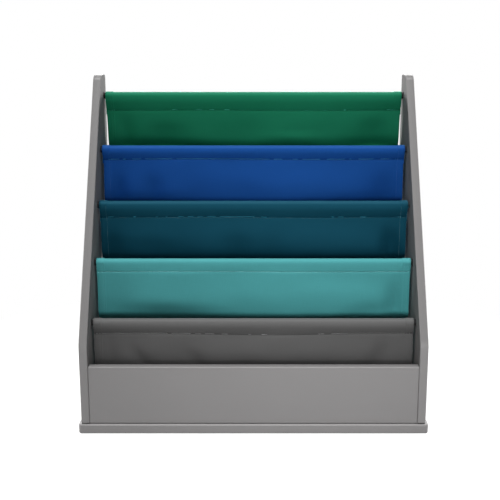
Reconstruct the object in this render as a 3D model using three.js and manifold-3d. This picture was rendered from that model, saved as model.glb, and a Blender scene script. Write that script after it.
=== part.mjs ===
// Sling bookshelf for a child's room, in millimetres.
// X runs across the shelf, Y from its front to its back, and Z up from the floor.
// Two side panels stand on a base board. Between them a front and a rear board make a bin,
// and rods in blind holes carry four cloth pockets and a cloth backrest, row above row.
import * as THREE from 'three';
import { mergeVertices } from 'three/addons/utils/BufferGeometryUtils.js';
import Module from 'manifold-3d';

// Whole shelf
const shelfHeight = 620;
const baseWidth = 620;
const sideOverhang = 5;
const frontOverhang = 2;

// Side panels: upright below the knee, sloping back above it
const panelDepth = 300;
const topDepth = 49;
const kneeHeight = 164;
const kneeRadius = 40;
const topFrontRadius = 20;
const topBackRadius = 6;
const footRadius = 3;
const boardThickness = 15;
const edgeRadius = 2;

// Base board, and the front and rear boards that stand on it
const baseThickness = 17;
const baseCornerRadius = 6;
const binBoardHeight = 106;
const binBoardSetback = 2;

// Rods: the lowest row, the top row and their distance behind the sloping edge
const rodDiameter = 12;
const rodWall = 1.2;
const rodHoleDepth = 9;
const firstRodHeight = 188.5;
const topRodDrop = 40.5;
const rodSetback = 41.8;
const backrestExtraSetback = 7;
const pocketRows = 4;

// Rear rod of a pocket, behind and below its front rod
const pocketRun = 52;
const pocketDrop = 30;

// Lower rod of the backrest
const backrestLength = 111.5;
const backRodMargin = 13;

// Cloth
const clothThickness = 1.2;
const sideGap = 4;
const sleeveDepth = 30;
const seamWidth = 4;
const pocketBottomRadius = 17;
const pocketBottomSetback = 10.5;
const pocketNestGap = 6.2;
const bottomSag = 5;
const sideDrawIn = 1.5;
const rippleHeight = 1.5;
const rippleCount = 2;
const clothStepLength = 60;
const clothFacetLength = 24;

// Screws from below the base into the side panels
const screwDiameter = 5;
const screwHeadDiameter = 10;
const screwRim = 0.6;
const screwHeadHeight = 3;
const screwLength = 45;
const screwSocketDiameter = 4;
const screwSocketDepth = 2.4;
const screwEndInset = 40;
const screwsPerPanel = 3;

// Cam locks, their bolts and the wooden pins that hold the bin boards to the panels
const camDiameter = 15;
const camSkin = 3;
const camReach = 24;
const camEdgeInset = 26;
const camSlotWidth = 1.4;
const camSlotLength = 9;
const camSlotDepth = 1.6;
const boltThreadDiameter = 6;
const boltThreadLength = 9;
const boltShankDiameter = 5;
const boltNeckDiameter = 3.4;
const boltNeckLength = 3;
const boltHeadDiameter = 6;
const boltHeadLength = 2;
const pinDiameter = 8;
const pinLength = 30;
const pinChamfer = 1;
const pinPanelDepth = 9;

// Clearances and one overrun for every cut
const seatGap = 0.3;
const cutOverrun = 2;

// Facets
const arcSegments = 3;
const edgeSegments = 2;
const rodSides = 16;
const holeSides = 16;
const smallSides = 8;
const camSides = 16;
const sleeveOuterSegments = 7;
const sleeveInnerSegments = 10;
const pocketBottomSegments = 7;

// Sizes and places worked out from those above
const panelSpread = baseWidth - 2 * sideOverhang;
const innerWidth = panelSpread - 2 * boardThickness;
const boardFoot = baseThickness + seatGap;
const panelMiddleX = (panelSpread - boardThickness) / 2;
const edgeSlope = (panelDepth - topDepth) / (shelfHeight - kneeHeight);
const rodRadius = rodDiameter / 2;
const sleeveInner = rodRadius + seatGap;
const sleeveOuter = sleeveInner + clothThickness;
const sleeveMiddle = sleeveInner + clothThickness / 2;
const rodLength = innerWidth + 2 * (rodHoleDepth - seatGap);
const slingWidth = innerWidth - 2 * sideGap;
const topRodHeight = shelfHeight - topRodDrop;
const rodPitch = (topRodHeight - firstRodHeight) / pocketRows;
const pocketDepth = rodPitch + pocketDrop - sleeveOuter - pocketNestGap;
const binBoardLength = innerWidth - 2 * seatGap;
const camDepth = boardThickness - camSkin;
const boltLength = boltThreadLength + camReach + boltHeadLength;

const wasm = await Module();
wasm.setup();

// Materials
const paint = () => new THREE.MeshStandardMaterial({ color: 0x9b9795, roughness: 0.45, metalness: 0 });
const rodPaint = () => new THREE.MeshStandardMaterial({ color: 0x15171a, roughness: 0.4, metalness: 0.3 });
const zinc = () => new THREE.MeshStandardMaterial({ color: 0xb9bcc0, roughness: 0.35, metalness: 0.9 });
const beech = () => new THREE.MeshStandardMaterial({ color: 0xd2ad7c, roughness: 0.7, metalness: 0 });
const cloth = (color) => new THREE.MeshStandardMaterial({ color, roughness: 0.85, metalness: 0 });
const pocketColors = [0x6c6e70, 0x4d9a9b, 0x16506a, 0x1b4796];
const backrestColor = 0x17664a;

// A geometry with its shared vertices merged, without the flat triangles that meet an axis
function mergedGeometry(geometry) {
  const bare = geometry.clone();
  bare.deleteAttribute('normal');
  bare.deleteAttribute('uv');
  const merged = mergeVertices(bare);
  const corners = merged.index.array;
  const kept = [];
  for (let start = 0; start < corners.length; start += 3) {
    const [a, b, c] = corners.slice(start, start + 3);
    if (a !== b && b !== c && c !== a) kept.push(a, b, c);
  }
  merged.setIndex(kept);
  return merged;
}

// A closed geometry as a solid that can be cut
function toSolid(geometry) {
  const merged = mergedGeometry(geometry);
  return new wasm.Manifold(new wasm.Mesh({
    numProp: 3,
    vertProperties: new Float32Array(merged.attributes.position.array),
    triVerts: new Uint32Array(merged.index.array),
  }));
}

// A cut solid as a geometry again
function toGeometry(solid) {
  const { vertProperties, triVerts } = solid.getMesh();
  const geometry = new THREE.BufferGeometry();
  geometry.setAttribute('position', new THREE.BufferAttribute(vertProperties, 3));
  geometry.setIndex(new THREE.BufferAttribute(triVerts, 1));
  geometry.computeVertexNormals();
  return geometry;
}

function cut(geometry, cutters) {
  const solid = cutters.reduce((body, cutter) => body.subtract(toSolid(cutter)), toSolid(geometry));
  return toGeometry(solid);
}

// Turns an extrusion so that its outline lies in Y and Z and its depth along X, centred
function alongX(geometry, length) {
  const xAxis = new THREE.Vector3(1, 0, 0);
  const yAxis = new THREE.Vector3(0, 1, 0);
  const zAxis = new THREE.Vector3(0, 0, 1);
  geometry.applyMatrix4(new THREE.Matrix4().makeBasis(yAxis, zAxis, xAxis));
  return geometry.translate(-length / 2, 0, 0);
}

// A closed outline whose corners are rounded by tangent arcs
function roundedShape(corners) {
  const shape = new THREE.Shape();
  corners.forEach(({ at, radius }, index) => {
    const before = corners.at(index - 1).at.clone().sub(at).normalize();
    const after = corners[(index + 1) % corners.length].at.clone().sub(at).normalize();
    const half = Math.acos(before.dot(after)) / 2;
    const toCenter = before.clone().add(after).normalize();
    const center = at.clone().addScaledVector(toCenter, radius / Math.sin(half));
    const start = at.clone().addScaledVector(before, radius / Math.tan(half)).sub(center);
    const end = at.clone().addScaledVector(after, radius / Math.tan(half)).sub(center);
    shape.absarc(center.x, center.y, radius, start.angle(), end.angle(), false);
  });
  return shape.closePath();
}

function rectangle(left, bottom, right, top, radius) {
  return roundedShape([
    { at: new THREE.Vector2(left, bottom), radius },
    { at: new THREE.Vector2(right, bottom), radius },
    { at: new THREE.Vector2(right, top), radius },
    { at: new THREE.Vector2(left, top), radius },
  ]);
}

// A board cut from sheet with its edges rounded over on both faces
function easedBoard(shape, thickness) {
  return new THREE.ExtrudeGeometry(shape, {
    depth: thickness - 2 * edgeRadius,
    bevelThickness: edgeRadius,
    bevelSize: edgeRadius,
    bevelOffset: -edgeRadius,
    bevelSegments: edgeSegments,
    curveSegments: arcSegments,
  }).translate(0, 0, edgeRadius);
}

// A round bar or bore along X, from one X to another
function barAlongX(radius, fromX, toX, y, z, sides) {
  const bar = new THREE.CylinderGeometry(radius, radius, Math.abs(toX - fromX), sides);
  return bar.rotateZ(Math.PI / 2).translate((fromX + toX) / 2, y, z);
}

// Places along the front edge and of the rods, as Vector2 of Y and Z
function edgeDepth(height) {
  return (height - kneeHeight) * edgeSlope;
}

function frontRodPlace(row) {
  const height = firstRodHeight + row * rodPitch;
  return new THREE.Vector2(edgeDepth(height) + rodSetback, height);
}

function rearRodPlace(row) {
  return frontRodPlace(row).add(new THREE.Vector2(pocketRun, -pocketDrop));
}

function backrestRodPlaces() {
  const top = frontRodPlace(pocketRows);
  top.x += backrestExtraSetback;
  const low = new THREE.Vector2(panelDepth - backRodMargin, top.y - backrestLength);
  return { top, low };
}

function rodPlaces() {
  const places = {};
  for (let row = 0; row < pocketRows; row += 1) {
    places[`front_rod_${row + 1}`] = frontRodPlace(row);
    places[`rear_rod_${row + 1}`] = rearRodPlace(row);
  }
  const backrest = backrestRodPlaces();
  places.backrest_top_rod = backrest.top;
  places.backrest_lower_rod = backrest.low;
  return places;
}

// Places of the fasteners
function screwDepths() {
  const span = panelDepth - 2 * screwEndInset;
  const pitch = span / (screwsPerPanel - 1);
  return Array.from({ length: screwsPerPanel }, (_, index) => screwEndInset + pitch * index);
}

const binBoardCenters = {
  front: binBoardSetback + boardThickness / 2,
  rear: panelDepth - binBoardSetback - boardThickness / 2,
};
const camHeights = [boardFoot + camEdgeInset, boardFoot + binBoardHeight - camEdgeInset];
const pinHeight = boardFoot + binBoardHeight / 2;

// Revolved outlines of the fasteners, from their lower or outer end, as pairs of radius and height
function screwSides(gap) {
  const head = screwHeadDiameter / 2 + gap;
  const shank = screwDiameter / 2 + gap;
  return [
    [head, screwRim + gap],
    [shank, screwHeadHeight + gap],
    [shank, screwLength + gap],
    [0, screwLength + gap],
  ];
}

function screwProfile() {
  const head = screwHeadDiameter / 2;
  const socket = screwSocketDiameter / 2;
  return [[0, screwSocketDepth], [socket, screwSocketDepth], [socket, 0], [head, 0], ...screwSides(0)];
}

function screwHoleProfile() {
  return [[0, -cutOverrun], [screwHeadDiameter / 2 + seatGap, -cutOverrun], ...screwSides(seatGap)];
}

function boltProfile(gap) {
  const thread = boltThreadDiameter / 2 + gap;
  const shank = boltShankDiameter / 2 + gap;
  const neck = boltNeckDiameter / 2 + gap;
  const head = boltHeadDiameter / 2 + gap;
  const shankEnd = boltLength - boltHeadLength - boltNeckLength;
  const headStart = boltLength - boltHeadLength;
  return [
    [0, -gap],
    [thread, -gap],
    [thread, boltThreadLength],
    [shank, boltThreadLength],
    [shank, shankEnd],
    [neck, shankEnd],
    [neck, headStart - gap],
    [head, headStart - gap],
    [head, boltLength + gap],
    [0, boltLength + gap],
  ];
}

function pinProfile() {
  const radius = pinDiameter / 2;
  return [
    [0, 0],
    [radius - pinChamfer, 0],
    [radius, pinChamfer],
    [radius, pinLength - pinChamfer],
    [radius - pinChamfer, pinLength],
    [0, pinLength],
  ];
}

function revolved(profile, sides) {
  return new THREE.LatheGeometry(profile.map(([radius, height]) => new THREE.Vector2(radius, height)), sides);
}

// A revolved fastener that starts at an X inside a panel and points to the middle of the shelf
function pointedInward(geometry, side, startX, y, z) {
  return geometry.rotateZ((side * Math.PI) / 2).translate(side * startX, y, z);
}

function screwAt(profile, side, y) {
  return revolved(profile, smallSides).rotateX(Math.PI / 2).translate(side * panelMiddleX, y, seatGap);
}

function boltAt(profile, side, y, z) {
  return pointedInward(revolved(profile, smallSides), side, innerWidth / 2 + boltThreadLength, y, z);
}

function pinAt(side, y, z) {
  return pointedInward(revolved(pinProfile(), smallSides), side, innerWidth / 2 + pinPanelDepth, y, z);
}

function pinHole(side, y, z) {
  const outerX = innerWidth / 2 + pinPanelDepth + seatGap;
  const innerX = outerX - pinLength - 2 * seatGap;
  return barAlongX(pinDiameter / 2 + seatGap, side * innerX, side * outerX, y, z, smallSides);
}

// Holes that the bolts and pins of one bin board need at one end
function binBoardHoles(side, y) {
  return [...camHeights.map((z) => boltAt(boltProfile(seatGap), side, y, z)), pinHole(side, y, pinHeight)];
}

function sidePanelShape() {
  return roundedShape([
    { at: new THREE.Vector2(0, boardFoot), radius: footRadius },
    { at: new THREE.Vector2(panelDepth, boardFoot), radius: footRadius },
    { at: new THREE.Vector2(panelDepth, shelfHeight), radius: topBackRadius },
    { at: new THREE.Vector2(panelDepth - topDepth, shelfHeight), radius: topFrontRadius },
    { at: new THREE.Vector2(0, kneeHeight), radius: kneeRadius },
  ]);
}

function sidePanel(side) {
  const board = alongX(easedBoard(sidePanelShape(), boardThickness), boardThickness);
  board.translate(side * panelMiddleX, 0, 0);
  const innerX = innerWidth / 2;
  const rodHoles = Object.values(rodPlaces()).map((place) => barAlongX(
    sleeveInner, side * (innerX - cutOverrun), side * (innerX + rodHoleDepth), place.x, place.y, holeSides));
  const screwHoles = screwDepths().map((y) => screwAt(screwHoleProfile(), side, y));
  const boardHoles = Object.values(binBoardCenters).flatMap((y) => binBoardHoles(side, y));
  return cut(board, [...rodHoles, ...screwHoles, ...boardHoles]);
}

function baseBoard() {
  const shape = rectangle(-baseWidth / 2, -frontOverhang, baseWidth / 2, panelDepth, baseCornerRadius);
  const screwHoles = [-1, 1].flatMap(
    (side) => screwDepths().map((y) => screwAt(screwHoleProfile(), side, y)));
  return cut(easedBoard(shape, baseThickness), screwHoles);
}

// Centre of a cam lock, a little inside the end of its board
function camX(side) {
  return side * (innerWidth / 2 - camReach);
}

// A cam lock's disc or its pocket, let into the face of a bin board that looks into the bin
function camDisc(side, y, z, inward, gap) {
  const radius = camDiameter / 2 + gap;
  const faceY = y + (inward * boardThickness) / 2;
  const bottomY = faceY - inward * (camDepth + gap);
  const length = camDepth + gap + (gap > 0 ? cutOverrun : 0);
  const disc = new THREE.CylinderGeometry(radius, radius, length, camSides);
  return disc.translate(camX(side), bottomY + (inward * length) / 2, z);
}

function binBoard(y, inward) {
  const top = boardFoot + binBoardHeight;
  const half = boardThickness / 2;
  const shape = rectangle(y - half, boardFoot, y + half, top, edgeRadius);
  const board = alongX(new THREE.ExtrudeGeometry(shape, {
    depth: binBoardLength,
    bevelEnabled: false,
    curveSegments: arcSegments,
  }), binBoardLength);
  const holes = [-1, 1].flatMap((side) => [
    ...binBoardHoles(side, y),
    ...camHeights.map((z) => camDisc(side, y, z, inward, seatGap)),
  ]);
  return cut(board, holes);
}

// A cam lock with the cross slot in its face and the bore that grips the bolt's head
function camLock(side, y, z, inward) {
  const faceY = y + (inward * boardThickness) / 2;
  const slots = [[camSlotLength, camSlotWidth], [camSlotWidth, camSlotLength]].map(([width, height]) => {
    const slot = new THREE.BoxGeometry(width, 2 * camSlotDepth, height);
    return slot.translate(camX(side), faceY, z);
  });
  return cut(camDisc(side, y, z, inward, 0), [boltAt(boltProfile(seatGap), side, y, z), ...slots]);
}

function rod(place) {
  const inner = rodRadius - rodWall;
  const profile = [
    [inner, 0],
    [rodRadius, 0],
    [rodRadius, rodLength],
    [inner, rodLength],
    [inner, 0],
  ];
  return revolved(profile, rodSides).rotateZ(Math.PI / 2).translate(rodLength / 2, place.x, place.y);
}

// Points of an arc about a centre, from one angle round to another, either way round
function arc(center, radius, fromAngle, toAngle, segments, clockwise = false) {
  const full = 2 * Math.PI;
  const way = clockwise ? -1 : 1;
  const sweep = ((((toAngle - fromAngle) * way) % full) + full) % full;
  return Array.from({ length: segments + 1 }, (_, index) => {
    const angle = fromAngle + (way * sweep * index) / segments;
    return new THREE.Vector2(Math.cos(angle), Math.sin(angle)).multiplyScalar(radius).add(center);
  });
}

// Angle of the normal of the wall that touches a rod's circle and the pocket bottom's circle
function wallAngle(from, fromRadius, to, toRadius, side) {
  const between = to.clone().sub(from);
  return between.angle() + side * Math.acos((fromRadius - toRadius) / between.length());
}

// The sleeve where cloth goes round a rod and is sewn back to its wall.
// The turn is 1 where the wall leaves the rod a quarter turn on from its normal, and -1 the other way.
function sleeve(center, angle, turn) {
  const normal = new THREE.Vector2(Math.cos(angle), Math.sin(angle));
  const away = new THREE.Vector2(-normal.y, normal.x).multiplyScalar(turn);
  const wallStart = center.clone().addScaledVector(normal, sleeveInner);
  const onWall = (distance) => wallStart.clone().addScaledVector(away, distance);
  const seamStart = onWall(sleeveDepth - sleeveOuter);
  const hemAngle = 2 * seamStart.clone().sub(center).angle() - angle;
  const hemNormal = new THREE.Vector2(Math.cos(hemAngle), Math.sin(hemAngle));
  const seamEnd = onWall(sleeveDepth - sleeveOuter + seamWidth);
  const hemEnd = seamEnd.clone().addScaledVector(normal, -clothThickness);
  const hemCorner = seamStart.clone().addScaledVector(hemNormal, clothThickness);
  return { center, angle, hemAngle, seamStart, seamEnd, hemEnd, hemCorner };
}

// Extra points on the long straight runs, so that the cloth can bend there
function divided(points) {
  return points.flatMap((point, index) => {
    const next = points[(index + 1) % points.length];
    const count = Math.ceil(point.distanceTo(next) / clothFacetLength);
    return Array.from({ length: count }, (_, step) => point.clone().lerp(next, step / count));
  });
}

function clothShape(outline, holes) {
  const shape = new THREE.Shape(divided(outline));
  shape.holes = holes.map((hole) => new THREE.Path(divided(hole)));
  return shape;
}

// Section of a pocket about its front rod: over that rod, down, round the bottom and up to the rear rod
function pocketShape() {
  const frontRod = new THREE.Vector2(0, 0);
  const rearRod = new THREE.Vector2(pocketRun, -pocketDrop);
  const bottomDepth = pocketDepth - bottomSag - clothThickness / 2 - pocketBottomRadius;
  const bottom = new THREE.Vector2(pocketBottomSetback, -bottomDepth);
  const front = sleeve(frontRod, wallAngle(frontRod, sleeveMiddle, bottom, pocketBottomRadius, -1), 1);
  const rear = sleeve(rearRod, wallAngle(rearRod, sleeveMiddle, bottom, pocketBottomRadius, 1), -1);
  const under = pocketBottomRadius + clothThickness / 2;
  const over = pocketBottomRadius - clothThickness / 2;
  const outline = [
    ...arc(frontRod, sleeveOuter, front.hemAngle, front.angle, sleeveOuterSegments),
    ...arc(bottom, under, front.angle, rear.angle, pocketBottomSegments),
    ...arc(rearRod, sleeveOuter, rear.angle, rear.hemAngle, sleeveOuterSegments),
    rear.hemCorner,
    rear.hemEnd,
    rear.seamEnd,
    ...arc(bottom, over, rear.angle, front.angle, pocketBottomSegments, true),
    front.seamEnd,
    front.hemEnd,
    front.hemCorner,
  ];
  const frontHole = [
    ...arc(frontRod, sleeveInner, front.hemAngle, front.angle, sleeveInnerSegments),
    front.seamStart,
  ];
  const rearHole = [
    ...arc(rearRod, sleeveInner, rear.angle, rear.hemAngle, sleeveInnerSegments),
    rear.seamStart,
  ];
  return clothShape(outline, [frontHole, rearHole]);
}

// Section of the backrest about its top rod: one wall ahead of both rods
function backrestShape() {
  const { top, low } = backrestRodPlaces();
  const topRod = new THREE.Vector2(0, 0);
  const lowRod = low.clone().sub(top);
  const angle = wallAngle(topRod, sleeveMiddle, lowRod, sleeveMiddle, -1);
  const upper = sleeve(topRod, angle, 1);
  const lower = sleeve(lowRod, angle, -1);
  const outline = [
    ...arc(topRod, sleeveOuter, upper.hemAngle, angle, sleeveOuterSegments),
    ...arc(lowRod, sleeveOuter, angle, lower.hemAngle, sleeveOuterSegments),
    lower.hemCorner,
    lower.hemEnd,
    lower.seamEnd,
    upper.seamEnd,
    upper.hemEnd,
    upper.hemCorner,
  ];
  const upperHole = [
    ...arc(topRod, sleeveInner, upper.hemAngle, angle, sleeveInnerSegments),
    upper.seamStart,
  ];
  const lowerHole = [
    ...arc(lowRod, sleeveInner, angle, lower.hemAngle, sleeveInnerSegments),
    lower.seamStart,
  ];
  return clothShape(outline, [upperHole, lowerHole]);
}

// How freely the cloth hangs at a height: not at all at the sleeves, fully at a pocket's bottom
function pocketFreedom(z) {
  return THREE.MathUtils.smoothstep(-z, pocketDrop + sleeveDepth, pocketDepth);
}

// The backrest is free only between its two seams
function backrestFreedom(z) {
  const start = sleeveDepth - sleeveOuter + seamWidth;
  const end = backrestLength - start;
  const middle = (start + end) / 2;
  return THREE.MathUtils.smoothstep(-z, start, middle) * (1 - THREE.MathUtils.smoothstep(-z, middle, end));
}

// Cloth along X with its main folds: a sagging bottom, drawn-in sides and broad upright ripples
function hungCloth(shape, freedom, sag) {
  const geometry = alongX(new THREE.ExtrudeGeometry(shape, {
    depth: slingWidth,
    steps: Math.ceil(slingWidth / clothStepLength),
    bevelEnabled: false,
  }), slingWidth);
  const points = geometry.attributes.position;
  const point = new THREE.Vector3();
  for (let index = 0; index < points.count; index += 1) {
    point.fromBufferAttribute(points, index);
    const free = freedom(point.z);
    const across = point.x / slingWidth;
    point.x -= 2 * across * sideDrawIn * free;
    point.y += rippleHeight * free * Math.cos(2 * Math.PI * rippleCount * across);
    point.z -= sag * free * Math.cos(Math.PI * across);
    points.setXYZ(index, point.x, point.y, point.z);
  }
  geometry.computeVertexNormals();
  return geometry;
}

function mesh(name, geometry, material) {
  const piece = new THREE.Mesh(geometry, material);
  piece.name = name;
  return piece;
}

// Boards
function frame() {
  const group = new THREE.Group();
  group.add(
    mesh('base_board', baseBoard(), paint()),
    mesh('side_panel_left', sidePanel(-1), paint()),
    mesh('side_panel_right', sidePanel(1), paint()),
    mesh('front_board', binBoard(binBoardCenters.front, 1), paint()),
    mesh('rear_board', binBoard(binBoardCenters.rear, -1), paint()),
  );
  return group;
}

function rods() {
  const group = new THREE.Group();
  for (const [name, place] of Object.entries(rodPlaces())) {
    group.add(mesh(name, rod(place), rodPaint()));
  }
  return group;
}

function slings() {
  const group = new THREE.Group();
  for (let row = 0; row < pocketRows; row += 1) {
    const place = frontRodPlace(row);
    const geometry = hungCloth(pocketShape(), pocketFreedom, bottomSag);
    const pocket = mesh(`pocket_sling_${row + 1}`, geometry, cloth(pocketColors[row]));
    pocket.position.set(0, place.x, place.y);
    group.add(pocket);
  }
  const { top } = backrestRodPlaces();
  const backrestCloth = hungCloth(backrestShape(), backrestFreedom, 0);
  const backrest = mesh('backrest_sling', backrestCloth, cloth(backrestColor));
  backrest.position.set(0, top.x, top.y);
  group.add(backrest);
  return group;
}

// Fasteners, numbered from the left and from the lowest
function fasteners() {
  const group = new THREE.Group();
  for (const [side, sideName] of [[-1, 'left'], [1, 'right']]) {
    screwDepths().forEach((y, index) => {
      const screw = screwAt(screwProfile(), side, y);
      group.add(mesh(`base_screw_${sideName}_${index + 1}`, screw, zinc()));
    });
    for (const [boardName, y] of Object.entries(binBoardCenters)) {
      const inward = boardName === 'front' ? 1 : -1;
      const label = `${boardName}_${sideName}`;
      camHeights.forEach((z, index) => {
        group.add(mesh(`cam_lock_${label}_${index + 1}`, camLock(side, y, z, inward), zinc()));
        group.add(mesh(`cam_bolt_${label}_${index + 1}`, boltAt(boltProfile(0), side, y, z), zinc()));
      });
      group.add(mesh(`wood_pin_${label}`, pinAt(side, y, pinHeight), beech()));
    }
  }
  return group;
}

// The floor under the middle of the base board is the origin
const shelf = new THREE.Group();
shelf.name = 'sling_bookshelf';
shelf.add(frame(), rods(), slings(), fasteners());
shelf.position.y = (frontOverhang - panelDepth) / 2;

export default shelf;
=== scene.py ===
"""Sling bookshelf: cloth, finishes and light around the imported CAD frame, in metres.

X runs across the shelf, Y from its front to its back, and Z up from the floor.
"""

import logging
import math
from dataclasses import dataclass
from enum import Enum
from functools import cached_property
from itertools import accumulate
from typing import Any, Callable, Sequence

import bmesh
import bpy
from bmesh.types import BMesh
from bpy.types import Material, NodeSocket, NodeTree, Object
from mathutils import Matrix, Vector, noise


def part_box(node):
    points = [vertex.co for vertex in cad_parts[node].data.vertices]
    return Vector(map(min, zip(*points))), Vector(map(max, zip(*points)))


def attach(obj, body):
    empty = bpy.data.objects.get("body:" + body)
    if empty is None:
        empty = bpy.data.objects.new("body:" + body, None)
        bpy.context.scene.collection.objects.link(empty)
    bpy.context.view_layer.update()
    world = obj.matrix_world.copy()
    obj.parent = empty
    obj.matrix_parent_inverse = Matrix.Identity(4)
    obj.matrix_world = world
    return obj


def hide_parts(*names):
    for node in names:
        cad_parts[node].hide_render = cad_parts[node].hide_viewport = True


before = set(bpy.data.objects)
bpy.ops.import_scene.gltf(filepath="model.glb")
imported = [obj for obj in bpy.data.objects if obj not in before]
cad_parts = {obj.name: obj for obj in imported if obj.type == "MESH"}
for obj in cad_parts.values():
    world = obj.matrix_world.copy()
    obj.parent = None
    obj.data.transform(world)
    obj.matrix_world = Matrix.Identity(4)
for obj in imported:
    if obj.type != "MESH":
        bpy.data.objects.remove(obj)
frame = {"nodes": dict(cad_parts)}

log = logging.getLogger("sling_bookshelf")

Pair = tuple[float, float]
Point = tuple[float, float, float]
Colour = tuple[float, float, float]
Sockets = dict[str | int, Any]


# Small helpers

def smoothstep(value: float, low: float, high: float) -> float:
    """Rises smoothly from 0 at low to 1 at high."""
    share = min(1.0, max(0.0, (value - low) / (high - low)))
    return share * share * (3.0 - 2.0 * share)


def bell(value: float, middle: float, spread: float) -> float:
    """A bell of height 1 at middle, about spread to each side."""
    return math.exp(-0.5 * ((value - middle) / spread) ** 2)


def eased(start: float, leave: float, end: float, arrive: float, share: float) -> float:
    """A cubic from start to end, with the slopes it leaves and arrives at.

    Args:
        start: Value at a share of 0.
        leave: Slope there.
        end: Value at a share of 1.
        arrive: Slope there.
        share: Place between the two.

    Returns:
        The value at the share.
    """
    rest = 1.0 - share
    run = start * (1.0 + 2.0 * share) + leave * share
    return run * rest * rest + (end * (3.0 - 2.0 * share) - arrive * rest) * share * share


def spaced(start: float, end: float, step: float) -> list[float]:
    """Even values from start to end, both included, at most a step apart."""
    count = max(1, math.ceil(abs(end - start) / step))
    return [start + (end - start) * index / count for index in range(count + 1)]


def direction(angle: float) -> Vector:
    """A direction in Y and Z, at an angle up from the Y axis."""
    return Vector((math.cos(angle), math.sin(angle)))


def rod_centre(name: str) -> Vector:
    """Middle of a rod's axis, from its CAD node."""
    low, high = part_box(name)
    return (low + high) / 2


def placed(name: str, mesh: BMesh, material: Material) -> Object:
    """Turns a bmesh into a smooth-shaded object at the origin that rides on the shelf.

    Args:
        name: Name of the new piece.
        mesh: Its shape, which is freed here.
        material: Its finish.

    Returns:
        The new object.
    """
    data = bpy.data.meshes.new(name)
    for face in mesh.faces:
        face.smooth = True
    mesh.to_mesh(data)
    mesh.free()
    data.materials.append(material)
    piece = bpy.data.objects.new(name, data)
    bpy.context.scene.collection.objects.link(piece)
    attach(piece, "root")
    return piece


# Shader expressions

def operator(operation: str, swapped: bool = False) -> Callable[..., "Signal"]:
    """A Python operator that adds a Math node.

    Args:
        operation: What the node does.
        swapped: Whether the signal comes after the number.

    Returns:
        The method for the operator.
    """
    def apply(signal: "Signal", *others: "Signal | float") -> "Signal":
        """Adds the node."""
        values = (*others, signal) if swapped else (signal, *others)
        return signal.bench.math(operation, *values)
    return apply


class Signal:
    """A shader socket that takes part in Python sums; each operator adds a Math node."""

    def __init__(self, bench: "Bench", socket: NodeSocket | None) -> None:
        """Wraps one output socket of a bench; an output node has none."""
        self.bench = bench
        self.socket = socket

    __add__ = __radd__ = operator("ADD")
    __sub__ = operator("SUBTRACT")
    __rsub__ = operator("SUBTRACT", swapped=True)
    __mul__ = __rmul__ = operator("MULTIPLY")
    __truediv__ = operator("DIVIDE")
    __abs__ = operator("ABSOLUTE")

    def math(self, operation: str, *others: "Signal | float") -> "Signal":
        """The result of a Math node that starts from this value."""
        return self.bench.math(operation, self, *others)

    def clamped(self) -> "Signal":
        """The value held between 0 and 1."""
        return self.math("MAXIMUM", 0.0).math("MINIMUM", 1.0)


@dataclass(frozen=True)
class Grain:
    """Smooth noise: its scale per metre, its detail, and how far each axis is stretched."""

    scale: float
    detail: float
    stretch: Point | None = None


class Bench:
    """A node tree that is filled with nodes one after another."""

    def __init__(self, tree: NodeTree) -> None:
        """Starts on an empty tree."""
        self.tree = tree
        tree.nodes.clear()

    def add(
        self, kind: str, sockets: Sockets | None = None, output: str | int = 0, **settings: Any
    ) -> Signal:
        """Adds a node, sets it up and gives its sockets values or links.

        Args:
            kind: Node type.
            sockets: Values or signals by socket name or number; a colour has three channels.
            output: Output that the result stands for.
            settings: Attributes of the node.

        Returns:
            The chosen output.
        """
        node = self.tree.nodes.new(kind)
        for name, value in settings.items():
            setattr(node, name, value)
        for key, value in (sockets or {}).items():
            target = node.inputs[key]
            if isinstance(value, Signal):
                self.tree.links.new(value.socket, target)
            else:
                target.default_value = (*value, 1.0) if target.type == "RGBA" else value
        return Signal(self, node.outputs[output] if node.outputs else None)

    def math(self, operation: str, *values: Signal | float) -> Signal:
        """A Math node on numbers or signals."""
        return self.add("ShaderNodeMath", dict(enumerate(values)), operation=operation)

    def coordinates(self, kind: str) -> Signal:
        """Texture coordinates of one kind."""
        return self.add("ShaderNodeTexCoord", output=kind)

    def axis(self, vector: Signal, name: str) -> Signal:
        """One axis of a vector."""
        return self.add("ShaderNodeSeparateXYZ", {0: vector}, name)

    def tones(self, share: Signal, colour: Colour, tints: Pair) -> Signal:
        """A colour between a darker and a lighter tint of one colour."""
        dark, light = (tuple(channel * tint for channel in colour) for tint in tints)
        return self.add("ShaderNodeMix", {0: share, 6: dark, 7: light}, 2, data_type="RGBA")

    def noise(self, place: Signal, grain: Grain) -> Signal:
        """Smooth noise from about 0 to 1."""
        if grain.stretch is not None:
            place = self.add("ShaderNodeMapping", {"Vector": place, "Scale": grain.stretch})
        return self.add("ShaderNodeTexNoise", {"Vector": place, "Scale": grain.scale, "Detail": grain.detail})

    def bump(self, height: Signal, distance: float, strength: float) -> Signal:
        """A normal that follows a height in metres."""
        return self.add("ShaderNodeBump", {"Height": height, "Distance": distance, "Strength": strength})


class MaterialBench(Bench):
    """The bench of a new material."""

    def __init__(self, name: str) -> None:
        """Starts an empty node material."""
        self.made = bpy.data.materials.new(name)
        self.made.use_nodes = True
        super().__init__(self.made.node_tree)

    def finish(self, sockets: Sockets) -> Material:
        """Ends the material in a Principled shader with these sockets."""
        shader = self.add("ShaderNodeBsdfPrincipled", sockets)
        self.add("ShaderNodeOutputMaterial", {"Surface": shader})
        return self.made


# Finishes

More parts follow.
